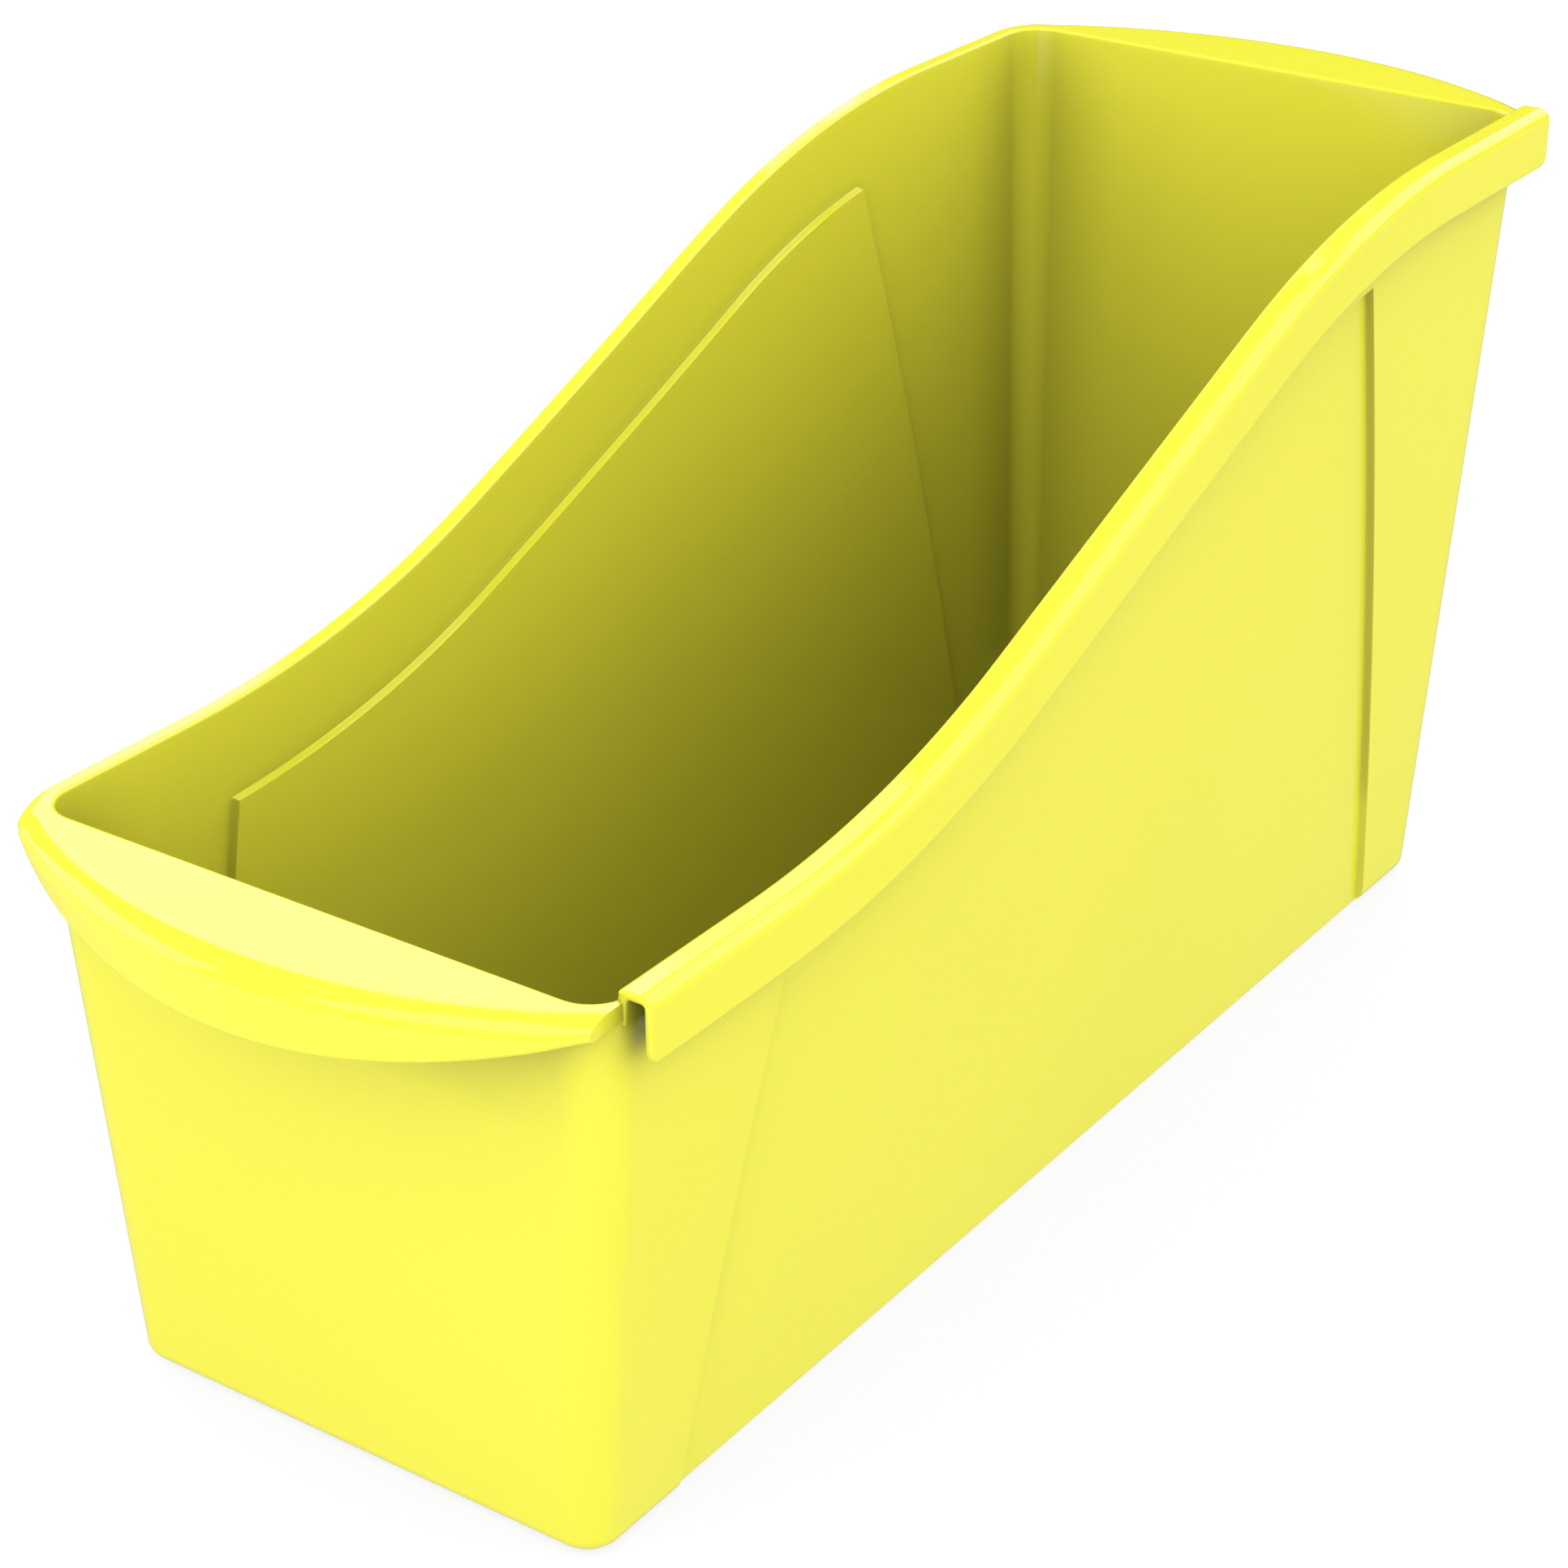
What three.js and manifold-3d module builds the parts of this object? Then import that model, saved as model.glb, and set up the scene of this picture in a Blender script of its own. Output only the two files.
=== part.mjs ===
// A sloped, interlocking parts and book bin: one injection moulding in yellow
// polypropylene, with a low front, a high back and side rims that sweep up
// between them in an S. A hook rail along the right rim hangs over the plain
// left rim of the next bin, so that a row of bins locks together.
//
// Millimetres, +Z up, +X to the right, front towards -Y. The origin is the
// middle of the base, on the surface that the bin stands on. The moulding is
// described as nine zones, each a closed solid, with a hairline joint between
// neighbours.

import * as THREE from 'three';
import { ParametricGeometry } from 'three/addons/geometries/ParametricGeometry.js';
import { mergeGeometries, mergeVertices } from 'three/addons/utils/BufferGeometryUtils.js';
import Module from 'manifold-3d';

const wasm = await Module();
wasm.setup();

// Driving dimensions.
const BASE_LENGTH = 310;
const BASE_WIDTH = 107.5;
const RIM_WIDTH = 125.2; // over the outside of the walls, the same all along the rim
const RIM_FRONT = 113.5; // height of the left rim at the front
const RIM_BACK = 177.4; // and at the back
const WALL = 1.7;
const FLOOR = 2;
const BASE_FILLET = 3;
const CORNER_FOOT = 6.7; // radius of the upright corners in plan, at the base
const CORNER_HEAD = 9; // and at the rim
const FRONT_DRAFT = 0.046; // lean of the front wall, outwards for each mm of height
const BACK_DRAFT = 0.051;
const JOINT = 0.3; // gap between neighbouring zones

// The S of the side rims: two level runs joined by a straight incline, whose
// corners would be at these distances from the front of the base.
const INCLINE_START = 74.5;
const INCLINE_END = 235;
const RIM_BEND_RADIUS = 205;

// Side panels: sunk into the outside of each side wall, standing proud inside.
const PANEL_DEPTH = 1.5;
const PANEL_BELOW_RIM = 17.7;
const PANEL_FRONT_FOOT = 24; // from the front of the base
const PANEL_FRONT_HEAD = 45.6;
const PANEL_REAR_FOOT = 285.6;
const PANEL_REAR_HEAD = 249.9;
const PANEL_FRONT_BOW = -1.2;
const PANEL_REAR_BOW = 2.7;
const PANEL_LEFT_SHIFT = -3.2; // the left panel sits this much further forward
const PAD_MARGIN = 1.2; // how far the raised pad inside reaches past the sunk outside
const PAD_FOOT = 1; // the pad starts this far above the foot of the wall

// Rim furniture.
const FLANGE = 2.2; // thickness of every rim plate
const FLANGE_REACH = 2.2; // left rim, outwards from the wall
const FLANGE_EDGE = 0.5; // bevel of its upper edges
const LIP_REACH = 21.4; // both lips, outwards from the end wall
const LIP_RADIUS = 112.5; // of their curved edge in plan
const LIP_ROUND = 4.6; // rounding from the flat top into the skirt
const LIP_SKIRT = 1.8;
const LIP_DEPTH = 12.8; // down to the skirt's lower edge, in the middle
const LIP_ARCH = 0.00245; // the lower edge rises by this much times x squared
const LIP_END_RADIUS = 6;
const LIP_GAP = 0.7; // the lips end this far inside the outer face of the right wall
const LIP_SWEEP = 0.7; // half the angle that a lip is swept through, in radians, to well past the rims
const RAIL_RISE = 2.1; // top of the hook rail above the left rim
const RAIL_OUTER = 67.4; // half-width to the outside of the hook
const RAIL_DROP = 10; // bottom of the hook below the rim line
const RAIL_PLATE = 1.8;
const RAIL_EDGE = 1.2; // bevel of its upper edges
const RAIL_FRONT = 0.5; // from the front of the base
const RAIL_BACK = 317.5;
const RAIL_FRONT_ROUND = 2.5; // lower corners of the hook, seen from the side
const RAIL_BACK_ROUND = 3;

// How many steps a curve is cut into.
const BEND_STEPS = 44; // one side rim, from end to end
const PANEL_STEPS = 30;
const UPRIGHT_STEPS = 8; // a wall, from foot to head
const CORNER_STEPS = 6; // a quarter turn
const LIP_STEPS = 48;
const ARCH_STEPS = 32;

const HALF_LENGTH = BASE_LENGTH / 2;
const HALF_BASE = BASE_WIDTH / 2;
const HALF_RIM = RIM_WIDTH / 2;
const FRONT_Y = -HALF_LENGTH - FRONT_DRAFT * RIM_FRONT; // outside of the front wall at its rim
const BACK_Y = HALF_LENGTH + BACK_DRAFT * RIM_BACK;
const WALL_FOOT = FLOOR + JOINT;
const WALL_HEAD = FLANGE + JOINT; // the walls stop this far under the rim line
const LIP_LEFT = -HALF_RIM - FLANGE_REACH;
const LIP_RIGHT = HALF_RIM - LIP_GAP;
const fromFront = (distance) => distance - HALF_LENGTH;

const { lerp } = THREE.MathUtils;

// Height of the rim line at a place along the bin.
function rimHeight(y) {
  const start = fromFront(INCLINE_START);
  const end = fromFront(INCLINE_END);
  const slope = Math.atan2(RIM_BACK - RIM_FRONT, end - start);
  const tangent = RIM_BEND_RADIUS * Math.tan(slope / 2);
  if (y < start - tangent) return RIM_FRONT;
  if (y > end + tangent) return RIM_BACK;
  if (y < start + tangent * Math.cos(slope)) {
    return RIM_FRONT + RIM_BEND_RADIUS - Math.sqrt(RIM_BEND_RADIUS ** 2 - (y - start + tangent) ** 2);
  }
  if (y > end - tangent * Math.cos(slope)) {
    return RIM_BACK - RIM_BEND_RADIUS + Math.sqrt(RIM_BEND_RADIUS ** 2 - (end + tangent - y) ** 2);
  }
  return RIM_FRONT + (y - start) * Math.tan(slope);
}

// Half-width over the outside of the side walls at a height: straight from the
// base to the rim, so the walls lean out more at the low front.
const sideX = (y, z) => lerp(HALF_BASE, HALF_RIM, z / rimHeight(y));
const cornerRadius = (y, z) => lerp(CORNER_FOOT, CORNER_HEAD, z / rimHeight(y));
const frontY = (z) => -HALF_LENGTH - FRONT_DRAFT * z;
const backY = (z) => HALF_LENGTH + BACK_DRAFT * z;

function weld(geometry) {
  geometry.deleteAttribute('normal');
  geometry.deleteAttribute('uv');
  return mergeVertices(geometry, 1e-4);
}

function toSolid(geometry) {
  const welded = weld(geometry.clone());
  const vertProperties = new Float32Array(welded.attributes.position.array);
  const triVerts = new Uint32Array(welded.index.array);
  return new wasm.Manifold(new wasm.Mesh({ numProp: 3, vertProperties, triVerts }));
}

function toGeometry(solid) {
  const mesh = solid.getMesh();
  const geometry = new THREE.BufferGeometry();
  geometry.setAttribute('position', new THREE.BufferAttribute(new Float32Array(mesh.vertProperties), 3));
  geometry.setIndex(new THREE.BufferAttribute(new Uint32Array(mesh.triVerts), 1));
  return geometry;
}

// A closed block bent to shape: place(u, v, w) fills a box of parameters that
// run from 0 to 1. The axes u, v and w are right-handed in the finished block.
function block(place, uSteps, vSteps, wSteps = 1) {
  const face = (at, steps, stacks) =>
    new ParametricGeometry((s, t, target) => target.set(...place(...at(s, t))), steps, stacks);
  const sides = [
    face((s, t) => [t, s, 0], vSteps, uSteps),
    face((s, t) => [s, t, 1], uSteps, vSteps),
    face((s, t) => [s, 0, t], uSteps, wSteps),
    face((s, t) => [t, 1, s], wSteps, uSteps),
    face((s, t) => [0, t, s], wSteps, vSteps),
    face((s, t) => [1, s, t], vSteps, wSteps),
  ];
  return mergeGeometries(sides.map(weld));
}

// A flat plate with the outline of a shape in plan, between two heights.
function plate(shape, bottom, top, curveSegments = CORNER_STEPS) {
  const geometry = new THREE.ExtrudeGeometry(shape, { depth: top - bottom, bevelEnabled: false, curveSegments });
  return toSolid(geometry.translate(0, 0, bottom));
}

function box(x0, x1, y0, y1, z0, z1) {
  const geometry = new THREE.BoxGeometry(x1 - x0, y1 - y0, z1 - z0);
  return toSolid(geometry.translate((x0 + x1) / 2, (y0 + y1) / 2, (z0 + z1) / 2));
}

// The space a side panel takes, between two depths measured inwards from the
// outside of the wall. Its head follows the rim line.
function panelSpace(side, outerDepth, innerDepth, foot, margin = 0) {
  const shift = side < 0 ? PANEL_LEFT_SHIFT : 0;
  const place = (u, v, w) => {
    const along = side > 0 ? u : 1 - u;
    const bow = lerp(PANEL_FRONT_BOW, PANEL_REAR_BOW, along) * 4 * v * (1 - v);
    const spread = lerp(-margin, margin, along);
    const footY = fromFront(lerp(PANEL_FRONT_FOOT, PANEL_REAR_FOOT, along));
    const headY = fromFront(lerp(PANEL_FRONT_HEAD, PANEL_REAR_HEAD, along));
    const headZ = rimHeight(headY + shift) - PANEL_BELOW_RIM + margin;
    const y = lerp(footY, headY, v) + bow + spread + shift;
    const z = lerp(foot, headZ, v);
    const x = sideX(y, z) - lerp(innerDepth, outerDepth, w);
    return [side * x, y, z];
  };
  return toSolid(block(place, PANEL_STEPS, UPRIGHT_STEPS));
}

// Outline of a rounded rectangle in plan.
function roundedRectangle(halfX, halfY, radius) {
  const shape = new THREE.Shape();
  shape.absarc(halfX - radius, halfY - radius, radius, 0, Math.PI / 2);
  shape.absarc(-halfX + radius, halfY - radius, radius, Math.PI / 2, Math.PI);
  shape.absarc(-halfX + radius, -halfY + radius, radius, Math.PI, 1.5 * Math.PI);
  shape.absarc(halfX - radius, -halfY + radius, radius, 1.5 * Math.PI, 2 * Math.PI);
  return shape;
}

// The floor, out to the foot of the walls and round the base edge. The sunk
// panels of the side walls die out in the rounding of the base edge.
function floorSolid() {
  const inset = BASE_FILLET;
  const outline = roundedRectangle(HALF_BASE - inset, HALF_LENGTH - inset, CORNER_FOOT - inset);
  const rounded = new THREE.ExtrudeGeometry(outline, {
    depth: 1,
    bevelThickness: BASE_FILLET,
    bevelSize: BASE_FILLET,
    bevelSegments: CORNER_STEPS - 1,
    curveSegments: CORNER_STEPS,
  });
  const body = toSolid(rounded.translate(0, 0, BASE_FILLET));
  return body.intersect(box(-HALF_BASE, HALF_BASE, -HALF_LENGTH, HALF_LENGTH, -1, FLOOR));
}

// An end wall with the two upright corners beside it. The wall runs round in
// plan from the left corner to the right one.
function endWallSolid(end) {
  const steps = 2 * CORNER_STEPS + 1;
  const rim = end < 0 ? RIM_FRONT : RIM_BACK;
  const place = (u, v, w) => {
    const z = lerp(WALL_FOOT, rim - WALL_HEAD, v);
    const wallY = end < 0 ? frontY(z) : backY(z);
    const halfX = lerp(HALF_BASE, HALF_RIM, z / rim);
    const station = Math.round((end < 0 ? u : 1 - u) * steps);
    const right = station > CORNER_STEPS;
    const turn = ((right ? station - 1 : station) / CORNER_STEPS) * (Math.PI / 2);
    const outer = cornerRadius(wallY, z);
    const radius = outer - lerp(0, WALL, w);
    const centreX = (right ? 1 : -1) * (halfX - outer);
    const centreY = wallY - end * outer;
    return [centreX - radius * Math.cos(turn), centreY + end * radius * Math.sin(turn), z];
  };
  return toSolid(block((u, v, w) => place(u, v, 1 - w), steps, UPRIGHT_STEPS));
}

// A side wall, between the corners that belong to the end walls.
function sideWallSolid(side) {
  const place = (u, v, w) => {
    const along = side > 0 ? u : 1 - u;
    const from = (z) => frontY(z) + cornerRadius(frontY(z), z) + JOINT;
    const to = (z) => backY(z) - cornerRadius(backY(z), z) - JOINT;
    const headY = lerp(from(RIM_FRONT - WALL_HEAD), to(RIM_BACK - WALL_HEAD), along);
    const footY = lerp(from(WALL_FOOT), to(WALL_FOOT), along);
    const z = lerp(WALL_FOOT, rimHeight(headY) - WALL_HEAD, v);
    const y = lerp(footY, headY, v);
    return [side * (sideX(y, z) - lerp(WALL, 0, w)), y, z];
  };
  const sunk = panelSpace(side, -1, PANEL_DEPTH, 0);
  const pad = panelSpace(side, WALL / 2, WALL + PANEL_DEPTH, WALL_FOOT + PAD_FOOT, PAD_MARGIN);
  return toSolid(block(place, BEND_STEPS, UPRIGHT_STEPS)).add(pad).subtract(sunk);
}

const lipCentreY = (end) => (end < 0 ? FRONT_Y : BACK_Y) + end * (LIP_REACH - LIP_RADIUS);

// Plan of a lip: a circle segment beyond the end wall, carried back past the
// wall line to the straight rims. The left end is rounded into the left rim.
function lipShape(end) {
  const root = (end < 0 ? FRONT_Y : BACK_Y) - end * (CORNER_HEAD - JOINT);
  const centreY = lipCentreY(end);
  const angleAt = (x) => Math.acos(x / LIP_RADIUS);
  const yAt = (angle) => centreY + end * LIP_RADIUS * Math.sin(angle);
  const from = angleAt(LIP_RIGHT);
  const to = angleAt(LIP_LEFT + LIP_END_RADIUS / 2);
  const shape = new THREE.Shape();
  shape.moveTo(LIP_RIGHT, root);
  shape.lineTo(LIP_RIGHT, yAt(from));
  shape.absarc(0, centreY, LIP_RADIUS, end * from, end * to, end < 0);
  const turnY = yAt(to) - (end * LIP_END_RADIUS) / 4;
  shape.quadraticCurveTo(LIP_LEFT, turnY, LIP_LEFT, yAt(to) - end * LIP_END_RADIUS);
  shape.lineTo(LIP_LEFT, root);
  return shape;
}

// A thick slab under a lip's curved edge, with that edge rounded over. It is
// drawn in section and swept round the centre of the lip's arc.
function lipSlab(end, inset, top, round, margin) {
  const outer = LIP_RADIUS - inset;
  const inner = LIP_RADIUS - LIP_REACH - 2 * CORNER_HEAD - margin;
  const bottom = top - 2 * LIP_DEPTH - margin;
  const halfSweep = LIP_SWEEP + margin / LIP_RADIUS;
  const section = new THREE.Shape();
  section.moveTo(inner, bottom);
  section.lineTo(outer, bottom);
  section.lineTo(outer, top - round);
  section.absarc(outer - round, top - round, round, 0, Math.PI / 2);
  section.lineTo(inner, top);
  const slab = new THREE.ExtrudeGeometry(section, {
    depth: 1,
    steps: LIP_STEPS,
    bevelEnabled: false,
    curveSegments: CORNER_STEPS - 1,
  });
  const position = slab.attributes.position;
  for (let i = 0; i < position.count; i += 1) {
    const radius = position.getX(i);
    const turn = end * lerp(-halfSweep, halfSweep, position.getZ(i));
    const height = position.getY(i);
    position.setXYZ(i, radius * Math.sin(turn), lipCentreY(end) + end * radius * Math.cos(turn), height);
  }
  return toSolid(slab);
}

// All the space above the arched lower edge of a lip's skirt.
function aboveArch(rim) {
  const halfX = 1.1 * HALF_RIM;
  const middle = rim - LIP_DEPTH;
  const rise = LIP_ARCH * halfX ** 2;
  const profile = new THREE.Shape();
  profile.moveTo(-halfX, middle + rise);
  profile.quadraticCurveTo(0, middle - rise, halfX, middle + rise);
  profile.lineTo(halfX, 2 * rim);
  profile.lineTo(-halfX, 2 * rim);
  profile.closePath();
  const depth = 2 * BASE_LENGTH;
  const curveSegments = ARCH_STEPS;
  const geometry = new THREE.ExtrudeGeometry(profile, { depth, bevelEnabled: false, curveSegments });
  return toSolid(geometry.rotateX(Math.PI / 2).translate(0, depth / 2, 0));
}

// Inside of the bin at an end, as a cutter for the lip there.
function insideSpace(end) {
  const wallY = end < 0 ? FRONT_Y : BACK_Y;
  const length = HALF_RIM;
  const outline = roundedRectangle(HALF_RIM - WALL, length / 2, CORNER_HEAD - WALL);
  return plate(outline, 0, 2 * RIM_BACK).translate([0, wallY - end * (WALL + length / 2), 0]);
}

// A lip: a flat plate over the end wall and its corners, rounded over into a
// skirt that is deepest in the middle and dies away at the corners.
function lipSolid(end) {
  const rim = end < 0 ? RIM_FRONT : RIM_BACK;
  const outside = lipSlab(end, 0, rim, LIP_ROUND, 0);
  const hollow = lipSlab(end, LIP_SKIRT, rim - FLANGE, LIP_ROUND - LIP_SKIRT, 1);
  const outline = plate(lipShape(end), 0, 2 * RIM_BACK, LIP_STEPS);
  const lip = outside.subtract(hollow).intersect(outline).intersect(aboveArch(rim));
  const railEnds = [fromFront(RAIL_FRONT) - JOINT, fromFront(RAIL_BACK) + JOINT];
  const railSpace = box(HALF_RIM - WALL - JOINT, 2 * HALF_RIM, ...railEnds, 0, 2 * RIM_BACK);
  return lip.subtract(insideSpace(end)).subtract(railSpace);
}

// Carries a bar made along Y to the rim line: a vertex keeps its distance from
// the line, measured square to it.
function bendAlongRim(geometry) {
  const position = geometry.attributes.position;
  const step = 0.5;
  for (let i = 0; i < position.count; i += 1) {
    const y = position.getY(i);
    const offset = position.getZ(i);
    const slope = Math.atan2(rimHeight(y + step) - rimHeight(y - step), 2 * step);
    position.setY(i, y - offset * Math.sin(slope));
    position.setZ(i, rimHeight(y) + offset * Math.cos(slope));
  }
  return geometry;
}

// A bar of constant section along the rim. The section is drawn with x across
// the bin and y as height over the rim line.
function rimBar(section, from, to) {
  const depth = to - from;
  const geometry = new THREE.ExtrudeGeometry(section, { depth, steps: BEND_STEPS, bevelEnabled: false });
  geometry.rotateX(Math.PI / 2);
  geometry.translate(0, to, 0);
  return bendAlongRim(geometry);
}

function polygon(points) {
  return new THREE.Shape(points.map(([x, y]) => new THREE.Vector2(x, y)));
}

function leftRimSolid() {
  const inner = -HALF_RIM + WALL;
  const outer = -HALF_RIM - FLANGE_REACH;
  const edge = FLANGE_EDGE;
  const section = polygon([
    [outer, -FLANGE], [inner, -FLANGE], [inner, -edge], [inner - edge, 0], [outer + edge, 0], [outer, -edge],
  ]);
  const from = FRONT_Y + CORNER_HEAD;
  const to = BACK_Y - CORNER_HEAD;
  return toSolid(rimBar(section, from, to));
}

// The hook rail: a stem that carries the wall up, a plate over the channel and
// a skirt that hangs down outside it.
function hookRailSolid() {
  const inner = HALF_RIM - WALL;
  const top = RAIL_RISE;
  const section = polygon([
    [inner, -FLANGE], [HALF_RIM, -FLANGE], [HALF_RIM, top - RAIL_PLATE],
    [RAIL_OUTER - RAIL_PLATE, top - RAIL_PLATE], [RAIL_OUTER - RAIL_PLATE, -RAIL_DROP],
    [RAIL_OUTER, -RAIL_DROP], [RAIL_OUTER, top - RAIL_EDGE], [RAIL_OUTER - RAIL_EDGE, top],
    [inner + RAIL_EDGE, top], [inner, top - RAIL_EDGE],
  ]);
  const bar = toSolid(rimBar(section, fromFront(RAIL_FRONT), fromFront(RAIL_BACK)));
  return [
    [RAIL_FRONT, RAIL_FRONT_ROUND, 1],
    [RAIL_BACK, RAIL_BACK_ROUND, -1],
  ].reduce((solid, [at, radius, inward]) => solid.subtract(cornerCutter(fromFront(at), radius, inward)), bar);
}

// What rounds a lower corner of the hook away, across the rail's full width.
function cornerCutter(y, radius, inward) {
  const bottom = rimHeight(y) - RAIL_DROP;
  const shape = new THREE.Shape();
  shape.moveTo(y - inward, bottom - 1);
  shape.lineTo(y + inward * radius, bottom - 1);
  shape.lineTo(y + inward * radius, bottom);
  const start = -Math.PI / 2;
  shape.absarc(y + inward * radius, bottom + radius, radius, start, start - inward * (Math.PI / 2), inward > 0);
  shape.lineTo(y - inward, bottom + radius);
  shape.closePath();
  const depth = 4 * (RAIL_OUTER - HALF_RIM);
  const curveSegments = CORNER_STEPS;
  const geometry = new THREE.ExtrudeGeometry(shape, { depth, bevelEnabled: false, curveSegments });
  geometry.rotateX(Math.PI / 2).rotateZ(Math.PI / 2);
  return toSolid(geometry.translate(RAIL_OUTER - depth / 2, 0, 0));
}

// Moulded polypropylene.
function plastic() {
  return new THREE.MeshStandardMaterial({ color: 0xf2ee3c, roughness: 0.32, metalness: 0 });
}

const group = new THREE.Group();

function addPart(name, solid) {
  const mesh = new THREE.Mesh(toGeometry(solid), plastic());
  mesh.name = name;
  group.add(mesh);
}

addPart('floor', floorSolid());
addPart('front_wall', endWallSolid(-1));
addPart('back_wall', endWallSolid(1));
addPart('left_wall', sideWallSolid(-1));
addPart('right_wall', sideWallSolid(1));
addPart('front_grip', lipSolid(-1));
addPart('back_lip', lipSolid(1));
addPart('left_rim', leftRimSolid());
addPart('hook_rail', hookRailSolid());

export default group;
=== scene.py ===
"""Looks of the sloped, interlocking parts and book bin: a one-piece moulding in yellow polypropylene.

Metres, +Z up, front towards -Y. The bin is drawn as a tub with rounded corners, two crescent lips, a plain
left rim and a hook rail. They meet at a seam just below the rim, so that the moulding reads as one skin.
"""

import math

import bmesh
import bpy
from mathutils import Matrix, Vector


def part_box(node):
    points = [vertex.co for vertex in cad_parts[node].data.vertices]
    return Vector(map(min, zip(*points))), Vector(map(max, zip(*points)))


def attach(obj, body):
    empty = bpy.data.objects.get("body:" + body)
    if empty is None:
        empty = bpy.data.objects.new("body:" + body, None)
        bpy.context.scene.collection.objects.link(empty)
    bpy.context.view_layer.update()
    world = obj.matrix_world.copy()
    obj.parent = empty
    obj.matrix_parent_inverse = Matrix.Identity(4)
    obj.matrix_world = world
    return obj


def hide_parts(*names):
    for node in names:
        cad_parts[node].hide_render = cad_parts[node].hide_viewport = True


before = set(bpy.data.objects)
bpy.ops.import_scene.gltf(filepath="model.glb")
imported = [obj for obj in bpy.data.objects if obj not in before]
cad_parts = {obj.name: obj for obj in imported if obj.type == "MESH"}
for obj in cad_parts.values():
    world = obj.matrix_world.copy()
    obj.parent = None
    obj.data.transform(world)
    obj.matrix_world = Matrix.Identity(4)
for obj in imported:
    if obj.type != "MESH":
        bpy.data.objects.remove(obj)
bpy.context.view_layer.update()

# Corners of the CAD's boxes, which give the driving sizes.
floor_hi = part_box("floor")[1]
front_lo, front_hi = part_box("front_wall")
back_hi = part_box("back_wall")[1]
rail_lo, rail_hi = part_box("hook_rail")
grip_lo, grip_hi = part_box("front_grip")
lip_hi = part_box("back_lip")[1]
left_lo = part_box("left_rim")[0]

WALL = 0.0017
FLOOR = floor_hi.z
FLOOR_ROUND = 0.003  # inside, where the walls meet the floor
BASE_ROUND = 0.003
BASE_INSET = BASE_ROUND - math.sqrt(BASE_ROUND**2 - (BASE_ROUND - FLOOR) ** 2)
HALF_BASE = floor_hi.x + BASE_INSET
HALF_LENGTH = floor_hi.y + BASE_INSET
HALF_RIM = rail_lo.x + WALL
RIM_FRONT = grip_hi.z
RIM_BACK = lip_hi.z
FRONT_DRAFT = (-HALF_LENGTH - front_lo.y) / front_hi.z
BACK_DRAFT = (back_hi.y - HALF_LENGTH) / back_hi.z
CORNER_FOOT = 0.0067  # radius of the upright corners at the base
CORNER_HEAD = 0.009  # and at the rim

# The S of the side rims, in distances from the front of the base.
INCLINE_START = 0.0745
INCLINE_END = 0.235
RIM_BEND_RADIUS = 0.205
SLOPE_STEP = 0.0005  # half the distance over which its slope is measured

# Side panels: sunk outside and proud inside.
PANEL_DEPTH = 0.0016
PANEL_BELOW_RIM = 0.0177
PANEL_FRONT_FOOT = 0.0241
PANEL_FRONT_HEAD = 0.0456
PANEL_FRONT_BOW = -0.0012
PANEL_REAR_FOOT = 0.2856
PANEL_REAR_HEAD = 0.2499
PANEL_REAR_BOW = 0.0027
PANEL_LEFT_SHIFT = -0.0032
STEP_HALF = 0.0002  # half the width of a panel's step
STEP_STATIONS = (-1.7, -1.0, -0.5, 0.0, 0.5, 1.0, 1.7)  # across a step, in halves of its width
STEP_CLEAR = STEP_HALF * STEP_STATIONS[-1]  # half the width that its stations take up

# Rims and lips.
SEAM = 0.004  # the tub ends this far below the rim, and the rim pieces carry on
PLATE = 0.0022
EDGE_ROUND = 0.0007
FLANGE_ROUND = 0.0009
FLANGE_REACH = -left_lo.x - HALF_RIM
LEAST_SKIRT = 0.00015  # the skirt never quite vanishes under the flange
LIP_REACH = -HALF_LENGTH - FRONT_DRAFT * RIM_FRONT - grip_lo.y
LIP_RADIUS = 0.1125
LIP_ROUND = 0.0046
LIP_SKIRT = 0.0018
LIP_DEPTH = 0.0128  # down to the skirt's lower edge, in the middle
LIP_ARCH = 2.45  # the lower edge rises by this much times x squared
LIP_GAP = 0.0007  # the lips end this far inside the outer face of the right wall
LIP_BLEND = 0.008  # how softly a lip's arc runs into the left rim
LIP_GROWTH = 1.1  # a lip's rounding grows this much faster than the left corner turns
LIP_CLOSING = 3.0  # a lip's right end closes this much faster than the right corner turns
SKIRT_SHARE = 0.8  # a skirt takes at most this share of the rim's reach
TIP_SHARE = 0.45  # radius of a skirt's lower edges, as a share of its thickness
HOLLOW_SHARE = 0.4  # the most that a rounding behind the skirt takes of the height under the plate
HOLLOW_ROUND = 0.0004  # the least that the upper one takes across
FILLET = 0.0006  # underneath, where a plate meets the wall
FILLET_OF_REACH = 0.2
FILLET_OF_SEAM = 0.4
FILLET_MIDDLE = 0.3  # distance of a fillet's middle from both faces, as a share of its size
FLAT_STOPS = (0.06, 0.5, 0.94)  # points along a flat, whose outer ones keep its shading flat

# Hook rail.
RAIL_TOP = rail_hi.z - RIM_BACK
RAIL_OUTER = rail_hi.x
RAIL_PLATE = 0.0014
RAIL_ROUND = 0.0024
RAIL_DROP = 0.010
RAIL_END_ROUND = 0.0026  # the lower corners of its skirt
RAIL_EDGE = 0.0006  # the edges of its end faces
RAIL_TOP_STOPS = (0.06, 0.94)
RAIL_SIDE_STOPS = (0.04, 0.96)

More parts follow.
